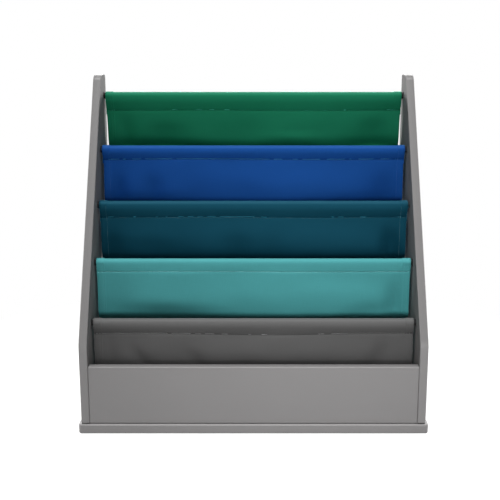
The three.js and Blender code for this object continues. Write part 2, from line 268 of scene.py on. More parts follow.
@dataclass(frozen=True)
class BoardPaint:
    """Satin paint sprayed on fibreboard."""

    name: str = "satin_grey_paint"
    colour: Colour = (0.182, 0.177, 0.177)
    tints: Pair = (0.4, 1.6)
    tone_share: float = 0.83
    clouds: Grain = Grain(7.0, 3.0)
    cloud_tone: float = 0.07
    spray: Grain = Grain(420.0, 3.0)
    spray_tone: float = 0.03
    specks: Grain = Grain(1500.0, 1.0)
    speck_height: float = 0.3
    relief: Pair = (0.00006, 0.6)
    roughness: float = 0.44
    handling: Grain = Grain(22.0, 4.0)
    handled_roughness: float = 0.04
    gloss: float = 0.34
    panel_face_gloss: float = 0.0
    panel_from: float = 0.2895
    base_top: float = 0.01715
    # Scales the darker cut edges together with the painted shade on up-facing edges and board tops
    edge_soak_and_shade: float = 0.32
    upright_soak: float = 0.02
    # Painted shade on the tops of the front and rear boards
    board_top_shade: float = 0.75

    def material(self) -> Material:
        """Builds the material: faint mottling, spray texture, handled patches, darker cut edges and painted
        shade where edges and board tops face up.

        Returns:
            The material.
        """
        bench = MaterialBench(self.name)
        place = bench.coordinates("Object")
        spray = bench.noise(place, self.spray)
        clouds = bench.noise(place, self.clouds)
        tone = (clouds - 0.5) * self.cloud_tone + (spray - 0.5) * self.spray_tone
        specks = bench.noise(place, self.specks)
        handled = bench.noise(place, self.handling)
        normal = bench.coordinates("Normal")
        sideways, upwards = (abs(bench.axis(normal, name)) for name in ("X", "Z"))
        # Darker cut edges, most of it painted shade where an edge faces up
        darker_edges_and_shade = self.cut_edge_and_top_shade(bench, place, sideways, upwards) * self.edge_soak_and_shade
        return bench.finish({
            "Base Color": bench.tones(0.5 + tone * self.tone_share - darker_edges_and_shade, self.colour, self.tints),
            "Roughness": self.roughness + (handled - 0.5) * self.handled_roughness,
            "Specular IOR Level": self.gloss + (self.panel_face_gloss - self.gloss) * sideways,
            "Normal": bench.bump(spray + specks * self.speck_height, *self.relief),
        })

    def cut_edge_and_top_shade(self, bench: Bench, place: Signal, sideways: Signal, upwards: Signal) -> Signal:
        """Where a board shows its cut edge, which drinks a little more paint than its faces, with painted
        shade added where an edge or a board's top faces up.

        Args:
            bench: Bench of the paint.
            place: Object coordinates.
            sideways: How far the surface faces to a side, from 0 to 1.
            upwards: How far it faces up or down.

        Returns:
            Up to 1 where a cut edge or a board's top faces up, a little on an upright cut edge, and 0 on a
            face.
        """
        base = bench.axis(place, "Z").math("LESS_THAN", self.base_top)
        panel = abs(bench.axis(place, "X")).math("GREATER_THAN", self.panel_from) * (1.0 - base)
        upright = (1.0 - base) * (1.0 - panel)
        # Painted shade: a panel's edges get darker the more they face up
        upward_shade = (self.upright_soak + upwards * 2.0 * (1.0 - self.upright_soak)).math("MINIMUM", 1.0)
        base_edge = base * (1.0 - upwards) * self.upright_soak
        panel_edge_and_shade = panel * (1.0 - sideways) * upward_shade
        # The last term is painted shade on the tops of the front and rear boards
        return base_edge + panel_edge_and_shade + upright * upwards * self.board_top_shade


@dataclass(frozen=True)
class RodCoating:
    """Black powder coat on steel tube."""

    name: str = "black_powder_coat"
    colour: Colour = (0.004, 0.0043, 0.0046)
    tints: Pair = (1.0, 2.4)
    wear: Grain = Grain(90.0, 4.0, (0.3, 1.0, 1.0))
    powder: Grain = Grain(1400.0, 2.0)
    powder_roughness: float = 0.2
    relief: Pair = (0.00004, 0.7)

    def material(self) -> Material:
        """Builds the material: fine powder grain and slightly worn patches.

        Returns:
            The material.
        """
        bench = MaterialBench(self.name)
        place = bench.coordinates("Object")
        powder = bench.noise(place, self.powder)
        return bench.finish({
            "Base Color": bench.tones(bench.noise(place, self.wear), self.colour, self.tints),
            "Roughness": 0.55 + (powder - 0.5) * self.powder_roughness,
            "Specular IOR Level": 0.2,
            "Normal": bench.bump(powder, *self.relief),
        })


@dataclass(frozen=True)
class SlingCanvas:
    """Plain-woven polyester canvas, dyed in one colour."""

    name: str
    colour: Colour
    sheen: Colour
    tints: Pair = (0.45, 1.55)
    thread: float = 0.00085
    warp_slubs: Grain = Grain(1100.0, 1.0, (1.0, 0.04, 1.0))
    weft_slubs: Grain = Grain(1100.0, 1.0, (0.04, 1.0, 1.0))
    slub_tone: float = 0.10
    slub_height: float = 0.5
    dye: Grain = Grain(9.0, 3.0)
    dye_tone: float = 0.06
    weave_shade_level: float = 0.6
    weave_shade: float = 0.22
    weave_roughness: float = 0.15
    relief: Pair = (0.00012, 0.5)

    def material(self) -> Material:
        """Builds the material: warp over weft, slubs, soft dye variation, painted shade between the threads,
        and fuzz.

        Returns:
            The material, which reads the sheet's UV map in metres.
        """
        bench = MaterialBench(self.name)
        flat = bench.add("ShaderNodeUVMap", uv_map="cut")
        turns = math.pi / self.thread
        warp, weft = ((bench.axis(flat, name) * turns).math("SINE") for name in ("X", "Y"))
        over = warp * weft * 0.5
        height = (abs(warp) * 0.5 + over).math("MAXIMUM", abs(weft) * 0.5 - over)
        slubs = bench.noise(flat, self.warp_slubs) + bench.noise(flat, self.weft_slubs) - 1.0
        tone = 0.5 + slubs * self.slub_tone + (bench.noise(flat, self.dye) - 0.5) * self.dye_tone
        # Painted shade: the canvas is darker where the weave dips between threads
        tone = tone + (height - self.weave_shade_level) * self.weave_shade
        return bench.finish({
            "Base Color": bench.tones(tone, self.colour, self.tints),
            "Roughness": 0.60 + (height - 0.5) * self.weave_roughness,
            "Specular IOR Level": 0.36,
            "Specular Tint": self.sheen,
            "Sheen Weight": 1.0,
            "Sheen Roughness": 0.35,
            "Sheen Tint": self.sheen,
            "Normal": bench.bump(height + slubs * self.slub_height, *self.relief),
        })


@dataclass(frozen=True)
class SewingThread:
    """Twisted polyester sewing thread."""

    name: str
    colour: Colour
    tints: Pair = (0.7, 1.3)
    twist: Grain = Grain(3500.0, 1.0)
    relief: Pair = (0.00005, 0.5)

    def material(self) -> Material:
        """Builds the material: fine twist lines across each stitch.

        Returns:
            The material.
        """
        bench = MaterialBench(self.name)
        twist = bench.noise(bench.coordinates("Object"), self.twist)
        return bench.finish({
            "Base Color": bench.tones(twist, self.colour, self.tints),
            "Roughness": 0.55,
            "Specular IOR Level": 0.25,
            "Normal": bench.bump(twist, *self.relief),
        })


@dataclass(frozen=True)
class ZincPlate:
    """Zinc-plated steel and die-cast zinc of the fasteners."""

    name: str = "zinc_plate"
    colour: Colour = (0.52, 0.53, 0.55)
    tints: Pair = (0.72, 1.0)
    blotches: Grain = Grain(260.0, 4.0)
    blotch_roughness: float = 0.2
    turning: Grain = Grain(900.0, 2.0, (6.0, 1.0, 1.0))
    relief: Pair = (0.00002, 0.6)

    def material(self) -> Material:
        """Builds the material: blotchy plating with fine turning marks.

        Returns:
            The material.
        """
        bench = MaterialBench(self.name)
        place = bench.coordinates("Object")
        blotches = bench.noise(place, self.blotches)
        return bench.finish({
            "Base Color": bench.tones(blotches, self.colour, self.tints),
            "Metallic": 1.0,
            "Roughness": 0.28 + blotches * self.blotch_roughness,
            "Normal": bench.bump(bench.noise(place, self.turning), *self.relief),
        })


@dataclass(frozen=True)
class BeechWood:
    """Turned beech of the wooden pins, grain along X."""

    name: str = "beech_pin"
    colour: Colour = (0.60, 0.40, 0.22)
    tints: Pair = (0.6, 1.0)
    fibres: Grain = Grain(900.0, 3.0, (0.06, 1.0, 1.0))
    fibre_tone: float = 0.7
    flecks: Grain = Grain(2200.0, 1.0, (0.25, 1.0, 1.0))
    fleck_tone: float = 0.3
    relief: Pair = (0.00005, 0.6)

    def material(self) -> Material:
        """Builds the material: long grain with short darker flecks.

        Returns:
            The material.
        """
        bench = MaterialBench(self.name)
        place = bench.coordinates("Object")
        fibres = bench.noise(place, self.fibres)
        tone = fibres * self.fibre_tone + bench.noise(place, self.flecks) * self.fleck_tone
        return bench.finish({
            "Base Color": bench.tones(tone, self.colour, self.tints),
            "Roughness": 0.62,
            "Normal": bench.bump(fibres, *self.relief),
        })


# Shelf sizes that the cloth and rods follow, as in the CAD source

@dataclass(frozen=True)
class ShelfSizes:
    """Sizes of the wooden frame, the rod rows and the pockets."""

    inner_width: float = 0.580
    side_gap: float = 0.004
    rod_radius: float = 0.006
    rod_wall: float = 0.0012
    rod_length: float = 0.5974
    pocket_run: float = 0.052
    pocket_drop: float = 0.030
    pocket_depth: float = 0.11405
    bottom_radius: float = 0.017
    bottom_setback: float = 0.0105
    bottom_sag: float = 0.005
    cloth_half: float = 0.0006


# Cloth

# A distance at which a rod doesn't shape the cloth
FAR_OFF = 1.0


@dataclass(frozen=True)
class Fold:
    """One soft fold of a hanging wall, where it tilts up or down on its way to the bottom."""

    across: float
    down: float
    width: float
    height: float
    tilt: float
    lean: float = 0.0

    def push(self, across: float, down: float) -> float:
        """How far the fold moves a point of the wall outwards; below it the wall stays moved."""
        side = across - self.across - self.lean * (down - self.down)
        passed = 0.5 + 0.5 * math.erf((down - self.down) / (self.height * math.sqrt(2.0)))
        return self.tilt * self.height * math.sqrt(2.0 * math.pi) * passed * bell(side, 0.0, self.width)


class Part(Enum):
    """Where a row of the sheet lies on its route."""

    LAP = "sewn to the wall"
    LEAF = "from the seam to the rod"
    RIM = "round the rod"
    WALL = "hanging"


@dataclass(frozen=True)
class Row:
    """One row of the sheet: its place on the section, with the outward angle there.

    Front and rear are its distances from the first and the last rod. A sleeve's rows have -1 for its own rod.
    The share is a lap's distance below the sleeve, or a leaf's way from the seam to the rod.
    """

    place: Vector
    angle: float
    part: Part
    front: float
    rear: float
    share: float = 0.0

    @property
    def normal(self) -> Vector:
        """Outward direction in Y and Z."""
        return direction(self.angle)


@dataclass(frozen=True)
class Sleeve:
    """A tunnel of cloth round a rod, sewn back to its wall.

    The turn is 1 at the rod where the sheet starts and -1 at the rod where it ends.
    """

    centre: Vector
    angle: float
    turn: int
    radius: float
    depth: float
    layer: float
    pinch: float

    def wall(self, distance: float, inward: float = 0.0) -> Vector:
        """A point at a distance down the wall from the rod, and some way in from the wall."""
        normal = direction(self.angle)
        away = self.turn * normal.orthogonal()
        return self.centre + self.radius * normal + away * distance - normal * inward

    def leaf_angle(self) -> float:
        """Outward angle of the inner leaf, which touches the rod's other side."""
        point = self.wall(self.depth, self.layer + self.pinch) - self.centre
        return math.atan2(point.y, point.x) + self.turn * math.acos(self.radius / point.length)

    def seam_row(self, down: float) -> Row:
        """The row of the wall that lies some way below the sleeve's depth."""
        depth = self.depth + down
        ends = (depth, FAR_OFF) if self.turn == 1 else (FAR_OFF, depth)
        return Row(self.wall(depth), self.angle, Part.WALL, *ends)


def wall_angle(between: Vector, narrower: float, side: int) -> float:
    """Outward angle of a straight wall that touches two circles.

    Args:
        between: From the first circle's centre to the second's.
        narrower: The first radius less the second.
        side: 1 or -1, for the wall's side of the line between the centres.

    Returns:
        The angle in radians.
    """
    return math.atan2(between.y, between.x) + side * math.acos(narrower / between.length)


@dataclass
class Sling:
    """A sheet of canvas hung on two rods, with hems, sleeves and rows of stitches.

    The depths are those of its sleeves, at its first and its last rod.
    """

    name: str
    node: str
    slot: str
    canvas: SlingCanvas
    thread: SewingThread
    rods: tuple[str, str]
    depths: Pair
    folds: Sequence[Fold]
    sizes: ShelfSizes = ShelfSizes()

    # How the wall stands out at its sleeves and seams
    bulge: float = 0.0010
    flare: float = 0.26
    pinch: float = 0.0020
    steep: float = 0.16
    relax: float = 0.026
    groove: float = 0.0004
    groove_width: float = 0.0008
    pucker: float = 0.0003
    pucker_rate: float = 70.0
    pucker_seed: float = 3.0
    seam_reach: float = 0.006
    seam_waver: Pair = (0.0006, 0.0)
    waver_rate: float = 14.0

    # How its sides and its slack hang
    draw_in: float = 0.0020
    draw_full: float = 0.030
    draw_end: float = 0.100
    draw_back: float = 0.35
    slack: float = 0.0018
    slack_rates: Point = (9.0, 11.0, 1.7)
    ripple: float = 0.4
    ripple_rate: float = 2.3
    loose: float = 0.004
    loose_past_sleeve: float = 0.010
    taut: Pair = (0.078, 0.116)

    # How the sheet is cut and sewn
    thickness: float = 0.0008
    gap: float = 0.0001
    sleeve_radius: float = 0.0069
    hem: float = 0.014
    hem_stitch: float = 0.0025
    hem_edge: float = 0.0006
    hem_rise: float = 0.0003
    hem_groove: float = 0.0002
    lap: float = 0.008
    lap_stitch: float = 0.0010
    stitch_pitch: float = 0.0034
    stitch_length: float = 0.0026
    stitch_width: float = 0.0007
    stitch_rise: float = 0.00035
    seam_end: float = 0.004

    # How finely it is meshed
    row_step: float = 0.003
    lap_step: float = 0.0025
    rim_step: float = 0.22
    rows_to_seam: float = 0.002
    rows_at_seam: Sequence[float] = (-0.0012, 0.0, 0.0012, 0.003)
    column_step: float = 0.006
    columns_at_hem: Sequence[float] = (-0.003, -0.0015, -0.0004, 0.0006)
    columns_at_stitch: Sequence[float] = (-0.0009, 0.0, 0.0009, 0.003)
    hem_step: float = 0.0028
    turned_step: float = 0.0035
    turn_columns: int = 5

    @property
    def layer(self) -> float:
        """Distance between two layers that lie on each other."""
        return self.thickness + self.gap

    @property
    def half(self) -> float:
        """Half of the hung width."""
        return self.sizes.inner_width / 2 - self.sizes.side_gap

    @cached_property
    def sleeves(self) -> tuple[Sleeve, ...]:
        """The sleeves on the first and the last rod."""
        centres = (Vector((0.0, 0.0)), self.last_rod())
        return tuple(
            Sleeve(centre, angle, turn, self.sleeve_radius, depth, self.layer, self.pinch)
            for centre, angle, turn, depth in zip(centres, self.angles(), (1, -1), self.depths))

    def last_rod(self) -> Vector:
        """Place of the last rod about the first, in Y and Z."""
        raise NotImplementedError

    def angles(self) -> Pair:
        """Outward angles of the wall at the first and the last rod."""
        raise NotImplementedError

    def wall_rows(self) -> list[Row]:
        """Rows of the sheet between its two rods."""
        raise NotImplementedError

    def freedom(self, row: Row) -> float:
        """How freely the sheet sags at a row, from 0 to 1; a straight wall doesn't sag."""
        return 0.0

    def side_freedom(self, row: Row) -> float:
        """How far the sides are drawn in at a row, as a share."""
        way = min(row.front, row.rear)
        back = self.draw_back * smoothstep(way, self.draw_full, self.draw_end)
        return smoothstep(way, 0.0, self.draw_full) - back

    def sleeve_rows(self, sleeve: Sleeve) -> list[Row]:
        """Rows of the lap, the inner leaf and the turn round the rod, from the raw edge.

        Args:
            sleeve: The sleeve.

        Returns:
            The rows in the order of a sheet that starts here.
        """
        leaf = sleeve.leaf_angle()
        ends = (-1.0, FAR_OFF) if sleeve.turn == 1 else (FAR_OFF, -1.0)
        rows = [
            Row(sleeve.wall(sleeve.depth + down, sleeve.layer), sleeve.angle + math.pi, Part.LAP, *ends, down)
            for down in spaced(self.lap, 0.0, self.lap_step)]
        low = sleeve.wall(sleeve.depth, sleeve.layer)
        start = sleeve.centre + sleeve.radius * direction(leaf)
        rows += [
            Row(low.lerp(start, share), leaf, Part.LEAF, *ends, share)
            for share in spaced(0.0, 1.0, self.row_step / sleeve.depth)[1:-1]]
        sweep = (sleeve.turn * (sleeve.angle - leaf)) % (2 * math.pi)
        for turned in (leaf + sleeve.turn * angle for angle in spaced(0.0, sweep, self.rim_step)):
            rows.append(Row(sleeve.centre + sleeve.radius * direction(turned), turned, Part.RIM, *ends))
        return rows

    def wall_steps(self, sleeve: Sleeve, length: float) -> list[float]:
        """Distances down a wall, closer together at its seam, without the first.

        Args:
            sleeve: Sleeve at the top of the wall.
            length: Length of the wall.

        Returns:
            The distances from the rod.
        """
        seam = sleeve.depth + self.lap_stitch
        marks = [seam + mark for mark in self.rows_at_seam]
        above = spaced(0.0, sleeve.depth - self.rows_to_seam, self.row_step)[1:]
        return [*above, sleeve.depth, *marks, *spaced(marks[-1], length, self.row_step)[1:]]

    def columns(self) -> list[float]:
        """Places across the flat cut, closer together at its hems.

        Returns:
            The distances from the middle, from one hem's raw edge to the other's.
        """
        turn = self.layer / 2
        hem_line = self.half - self.hem
        rim = self.half - turn
        before, *at_hem = (hem_line + mark for mark in self.columns_at_hem)
        *at_stitch, after = (hem_line + self.hem_stitch + mark for mark in self.columns_at_stitch)
        side = [*spaced(0.0, before, self.column_step), *at_hem, *at_stitch]
        side += spaced(after, rim, self.hem_step)
        side += [rim + turn * angle for angle in spaced(0.0, math.pi, math.pi / self.turn_columns)[1:]]
        raw = rim + math.pi * turn + (rim - hem_line)
        side += spaced(rim + math.pi * turn, raw, self.turned_step)[1:]
        return [-value for value in reversed(side[1:])] + side

    def on_width(self, cut: float) -> Pair:
        """Where a place across the flat cut lies when the side hems are turned in.

        Args:
            cut: Distance from the middle of the flat cut.

        Returns:
            The distance from the middle of the hung sheet, and the layer, from 0 outside to 1 inside.
        """
        turn = self.layer / 2
        rim = self.half - turn
        way = abs(cut) - rim
        if way <= 0.0:
            return cut, 0.0
        if way <= math.pi * turn:
            angle = way / turn
            return math.copysign(rim + turn * math.sin(angle), cut), (1.0 - math.cos(angle)) / 2
        return math.copysign(rim - (way - math.pi * turn), cut), 1.0

    def hemmed(self, across: float) -> float:
        """1 where the side hem doubles the sheet, and 0 elsewhere."""
        line = self.half - self.hem
        return smoothstep(abs(across), line - self.hem_edge, line + self.hem_edge)

    def sleeve_push(self, distance: float, seam: float) -> float:
        """How far the wall stands out at a distance from a rod: full below the rod, in at its seam."""
        if distance < seam:
            return eased(self.bulge, self.flare * seam, -self.pinch, -self.steep * seam, distance / seam)
        return -self.pinch * math.exp((seam - distance) / self.relax)

    def rim_push(self, turned: float) -> float:
        """How far the cloth stands off the rod at an angle from where its wall leaves."""
        share = max(0.0, 1.0 - abs(math.atan2(math.sin(turned), math.cos(turned))) / (math.pi / 2))
        return self.bulge * share ** (self.flare * self.sleeve_radius * math.pi / 2 / self.bulge)

    def wall_push(self, across: float, row: Row) -> float:
        """How far sleeves, seams and hems move a point of the wall out of its straight section.

        Args:
            across: Distance from the hung sheet's middle.
            row: Row of the wall.

        Returns:
            The way outwards.
        """
        push = 0.0
        first, last = (depth + self.lap_stitch for depth in self.depths)
        for distance, seam in ((row.front, first), (row.rear, last)):
            push += self.sleeve_push(distance, seam) - self.groove * bell(distance, seam, self.groove_width)
        place = Vector((across * self.pucker_rate, 0.0, self.pucker_seed + len(self.name)))
        push += self.pucker * bell(row.front, first, self.seam_reach) * noise.noise(place)
        push += self.hem_rise * self.hemmed(across)
        stitches = self.half - self.hem + self.hem_stitch
        return push - self.hem_groove * bell(abs(across), stitches, self.groove_width)

    def fold_push(self, across: float, row: Row) -> float:
        """How far folds and slack move a point of the wall ahead; the bottom and rear wall stay.

        Args:
            across: Distance from the hung sheet's middle.
            row: Row of the wall.

        Returns:
            The way ahead.
        """
        loose = smoothstep(row.front, self.loose, self.depths[0] + self.loose_past_sleeve)
        push = sum(fold.push(across, row.front) for fold in self.folds)
        wide, long, seed = self.slack_rates
        place = Vector((across * wide, row.front * long, len(self.name) * seed))
        slack = self.slack * (noise.noise(place) + self.ripple * noise.noise(place * self.ripple_rate))
        return loose * smoothstep(row.rear, *self.taut) * (push + slack)

    def wall_offset(self, across: float, row: Row) -> Vector:
        """How far a point of the wall lies from its straight section, in Y and Z."""
        folded = self.fold_push(across, row) * direction(self.sleeves[0].angle)
        return row.normal * self.wall_push(across, row) + folded

    def point(self, across: float, layer: float, row: Row) -> Vector:
        """Place of a point of the sheet about its first rod.

        Args:
            across: Distance from the hung sheet's middle.
            layer: 0 on the outer layer, 1 on a side hem's inner layer.
            row: Row of the sheet.

        Returns:
            The point in X, Y and Z from the middle of the first rod.
        """
        sleeve = self.sleeves[0 if row.front < 0.0 else 1]
        if row.part is Part.WALL:
            size, phase = self.seam_waver
            waver = size * math.sin(across * self.waver_rate + phase)
            near = bell(row.front, self.depths[0] + self.lap_stitch, self.seam_reach)
            place = row.place + self.wall_offset(across, row) + row.normal.orthogonal() * waver * near
        elif row.part is Part.RIM:
            hem = self.thickness * self.hemmed(across)
            place = row.place + row.normal * (hem + self.rim_push(row.angle - sleeve.angle))
        else:
            place = self.leaf_point(across, row, sleeve)
        place -= row.normal * layer * self.layer
        drop = self.sizes.bottom_sag * self.freedom(row) * math.cos(math.pi * across / (2 * self.half))
        narrow = self.draw_in * across / self.half * self.side_freedom(row)
        return Vector((across - narrow, place.x, place.y - drop))

    def leaf_point(self, across: float, row: Row, sleeve: Sleeve) -> Vector:
        """A point of a lap or an inner leaf, which follows the wall that it is sewn to.

        Args:
            across: Distance from the hung sheet's middle.
            row: Row of the lap or leaf.
            sleeve: Sleeve that it belongs to.

        Returns:
            The point in Y and Z.
        """
        hemmed = self.hemmed(across)
        wall = sleeve.seam_row(row.share if row.part is Part.LAP else 0.0)
        inward = self.layer * (1.0 + 2.0 * hemmed)
        lap = wall.place + self.wall_offset(across, wall) - wall.normal * inward
        if row.part is Part.LAP:
            return lap
        start = row.normal * (self.sleeve_radius + self.thickness * hemmed) + sleeve.centre
        return lap.lerp(start, row.share)

    def build(self) -> Object:
        """Cuts the flat sheet, hangs it on its route and gives it its thickness.

        Returns:
            The finished sheet.
        """
        first, last = self.sleeves
        rows = [*self.sleeve_rows(first), *self.wall_rows(), *reversed(self.sleeve_rows(last))]
        columns = self.columns()
        lengths = self.row_lengths(rows)
        sheet = bmesh.new()
        cut_map = sheet.loops.layers.uv.new("cut")
        bmesh.ops.create_grid(sheet, x_segments=len(columns) - 1, y_segments=len(rows) - 1, size=1.0)
        middle = rod_centre(self.rods[0])
        cut_place: dict[int, Pair] = {}
        for vertex in sheet.verts:
            column = round((vertex.co.x + 1.0) / 2.0 * (len(columns) - 1))
            line = round((vertex.co.y + 1.0) / 2.0 * (len(rows) - 1))
            across, layer = self.on_width(columns[column])
            vertex.co = middle + self.point(across, layer, rows[line])
            cut_place[vertex.index] = (columns[column], lengths[line])
        for face in sheet.faces:
            for loop in face.loops:
                loop[cut_map].uv = cut_place[loop.vert.index]
        piece = placed(self.name, sheet, self.canvas.material())
        thicken = piece.modifiers.new("cloth", "SOLIDIFY")
        thicken.thickness = self.thickness
        thicken.offset = 0.0
        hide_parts(self.node)
        stitching = self.stitching(rows)
        log.info("%s: cut %.0f x %.0f mm", self.name, 1000 * (columns[-1] - columns[0]), 1000 * lengths[-1])
        return piece

    def row_lengths(self, rows: Sequence[Row]) -> list[float]:
        """Distance along the sheet's middle line to each row."""
        points = [self.point(0.0, 0.0, row) for row in rows]
        steps = ((after - before).length for before, after in zip(points, points[1:]))
        return list(accumulate(steps, initial=0.0))

    def stitching(self, rows: Sequence[Row]) -> Object:
        """Sews the two sleeve seams and the two side hems.

        Args:
            rows: Rows of the sheet.

        Returns:
            All stitches as one piece.
        """
        sewn = bmesh.new()
        middle = rod_centre(self.rods[0])
        reach = self.half - self.seam_end
        for row in (sleeve.seam_row(self.lap_stitch) for sleeve in self.sleeves):
            for across in spaced(-reach, reach, self.stitch_pitch):
                place = middle + self.point(across, 0.0, row)
                self.sew(sewn, place, Vector((1.0, 0.0, 0.0)), row.normal, 2 * self.layer + self.thickness)
        lengths = self.row_lengths(rows)
        walls = [index for index, row in enumerate(rows) if row.part is Part.WALL]
        hem_line = self.half - self.hem + self.hem_stitch
        for side in (-hem_line, hem_line):
            travelled = lengths[walls[0]]
            for index in walls[:-1]:
                low, high = rows[index:index + 2]
                first, last = (self.point(side, 0.0, row) for row in (low, high))
                while travelled < lengths[index + 1]:
                    share = (travelled - lengths[index]) / (lengths[index + 1] - lengths[index])
                    normal = direction(low.angle + share * (high.angle - low.angle))
                    place = middle + first.lerp(last, share)
                    self.sew(sewn, place, (last - first).normalized(), normal, self.layer + self.thickness)
                    travelled += self.stitch_pitch
        piece = placed(self.name + "_stitching", sewn, self.thread.material())
        return piece

    def sew(
        self, sewn: BMesh, place: Vector, along: Vector, normal: Vector, layers: float
    ) -> None:
        """Adds one stitch that goes through the layers and shows on both faces.

        Args:
            sewn: Mesh of the stitches so far.
            place: Middle of the outer layer there.
            along: Direction of the seam.
            normal: Outward direction in Y and Z.
            layers: Thickness of all layers together.
        """
        out = Vector((0.0, normal.x, normal.y))
        width = out.cross(along).normalized()
        out = along.cross(width).normalized()
        deep = layers + 2 * self.stitch_rise
        centre = place + out * (self.thickness / 2 + self.stitch_rise - deep / 2)
        turn = Matrix((along, width, out)).transposed().to_4x4()
        size = Matrix.Diagonal((self.stitch_length, self.stitch_width, deep, 1.0))
        bmesh.ops.create_icosphere(
            sewn, subdivisions=1, radius=0.5, matrix=Matrix.Translation(centre) @ turn @ size)


@dataclass
class PocketSling(Sling):
    """A pocket: over its front rod, down, round the bottom and up to its rear rod."""

    sag_start: float = 0.030

    def last_rod(self) -> Vector:
        """The rear rod's place about the front rod."""
        return Vector((self.sizes.pocket_run, -self.sizes.pocket_drop))

    def bottom(self) -> Vector:
        """Centre of the pocket's rounded bottom, about the front rod."""
        sizes = self.sizes
        depth = sizes.pocket_depth - sizes.bottom_sag - sizes.cloth_half - sizes.bottom_radius
        return Vector((sizes.bottom_setback, -depth))

    def angles(self) -> Pair:
        """Outward angles of the front and the rear wall."""
        narrower = self.sleeve_radius - self.sizes.bottom_radius
        front = wall_angle(self.bottom(), narrower, -1)
        return front, wall_angle(self.bottom() - self.last_rod(), narrower, 1)

    def wall_rows(self) -> list[Row]:
        """Rows down the front wall, round the bottom and up the rear wall.

        Returns:
            The rows between the two rods.
        """
        front, rear = self.sleeves
        bottom = self.bottom()
        radius = self.sizes.bottom_radius
        front_length, rear_length = (
            (bottom + radius * direction(sleeve.angle) - sleeve.wall(0.0)).length for sleeve in self.sleeves)
        sweep = (rear.angle - front.angle) % (2 * math.pi)
        total = front_length + sweep * radius + rear_length
        rows = [
            Row(front.wall(down), front.angle, Part.WALL, down, total - down)
            for down in self.wall_steps(front, front_length)]
        for angle in spaced(0.0, sweep, self.row_step / radius)[1:-1]:
            turned = front.angle + angle
            gone = front_length + angle * radius
            rows.append(Row(bottom + radius * direction(turned), turned, Part.WALL, gone, total - gone))
        rows += [
            Row(rear.wall(up), front.angle + sweep, Part.WALL, total - up, up)
            for up in reversed(self.wall_steps(rear, rear_length))]
        return rows

    def freedom(self, row: Row) -> float:
        """How freely the pocket hangs at a row: not at the sleeves, fully at its bottom."""
        start = self.sizes.pocket_drop + self.sag_start
        return smoothstep(-row.place.y, start, self.sizes.pocket_depth)


@dataclass
class BackrestSling(Sling):
    """The backrest: one wall ahead of its top and lower rods."""

    taut: Pair = (0.0, 0.020)
    narrow_by: float = 0.060

    def last_rod(self) -> Vector:
        """The lower rod's place about the top rod."""
        between = rod_centre(self.rods[1]) - rod_centre(self.rods[0])
        return Vector((between.y, between.z))

    def angles(self) -> Pair:
        """Outward angle of the wall, which is the same at both rods."""
        angle = wall_angle(self.last_rod(), 0.0, -1)
        return angle, angle

    def wall_rows(self) -> list[Row]:
        """Rows down the wall, closer together at both seams.

        Returns:
            The rows between the two rods.
        """
        top, low = self.sleeves
        total = self.last_rod().length
        downs = self.wall_steps(top, total / 2)
        downs += [total - up for up in reversed(self.wall_steps(low, total / 2)[:-1])]
        return [Row(top.wall(down), top.angle, Part.WALL, down, total - down) for down in downs]

    def side_freedom(self, row: Row) -> float:
        """The sides are drawn in below the top rod, and stay so at the lower one."""
        return smoothstep(row.front, 0.0, self.narrow_by)


# Wooden frame, rods and fasteners

@dataclass
class Boards:
    """Painted boards of the frame, with their edges shaded round."""

    paint: Material
    names: Sequence[str] = ("base_board", "side_panel_left", "side_panel_right", "front_board", "rear_board")
    slot: str = "grey_paint"
    merge_distance: float = 0.00001
    flat_angle: float = math.radians(0.5)
    crease_angle: float = math.radians(50)
    face_weight: int = 100

    def build(self, node: Object) -> Object:
        """Makes one closed skin in the CAD's shape, merged from a copy of its node.

        Args:
            node: The CAD node.

        Returns:
            The painted board.
        """
        skin = bmesh.new()
        skin.from_mesh(node.data)
        bmesh.ops.remove_doubles(skin, verts=skin.verts, dist=self.merge_distance)
        bmesh.ops.dissolve_limit(
            skin, angle_limit=self.flat_angle, use_dissolve_boundaries=False,
            verts=skin.verts, edges=skin.edges, delimit=set())
        for edge in skin.edges:
            edge.smooth = edge.is_manifold and edge.calc_face_angle(0.0) < self.crease_angle
        piece = placed(node.name + "_painted", skin, self.paint)
        even = piece.modifiers.new("even shading", "WEIGHTED_NORMAL")
        even.keep_sharp = True
        even.weight = self.face_weight
        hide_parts(node.name)
        return piece


@dataclass
class Rods:
    """Powder-coated steel tubes in the blind holes of the panels."""

    coating: Material
    slot: str = "rod_coating"
    sides: int = 40
    edge: float = 0.0004
    sizes: ShelfSizes = ShelfSizes()

    def build(self, name: str) -> Object:
        """Makes one tube: two rings bridged at each end, with the cut edges eased.

        Args:
            name: Name of the rod's CAD node.

        Returns:
            The coated tube.
        """
        half = self.sizes.rod_length / 2
        outer = self.sizes.rod_radius
        inner = outer - self.sizes.rod_wall
        tube = bmesh.new()
        rings = []
        for radius, x in ((outer, -half), (outer, half), (inner, half), (inner, -half)):
            turn = Matrix.Translation((x, 0.0, 0.0)) @ Matrix.Rotation(math.pi / 2, 4, "Y")
            made = bmesh.ops.create_circle(tube, segments=self.sides, radius=radius, matrix=turn)
            corners = set(made["verts"])
            rings.append([edge for edge in tube.edges if set(edge.verts) <= corners])
        for first, second in zip(rings, rings[1:] + rings[:1]):
            bmesh.ops.bridge_loops(tube, edges=first + second)
        ends = [edge for ring in rings for edge in ring]
        bmesh.ops.bevel(
            tube, geom=ends, offset=self.edge, offset_type="OFFSET", segments=2, profile=0.5,
            affect="EDGES", material=-1)
        bmesh.ops.translate(tube, verts=tube.verts, vec=rod_centre(name))
        bmesh.ops.recalc_face_normals(tube, faces=tube.faces)
        piece = placed(name + "_coated", tube, self.coating)
        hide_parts(name)
        return piece


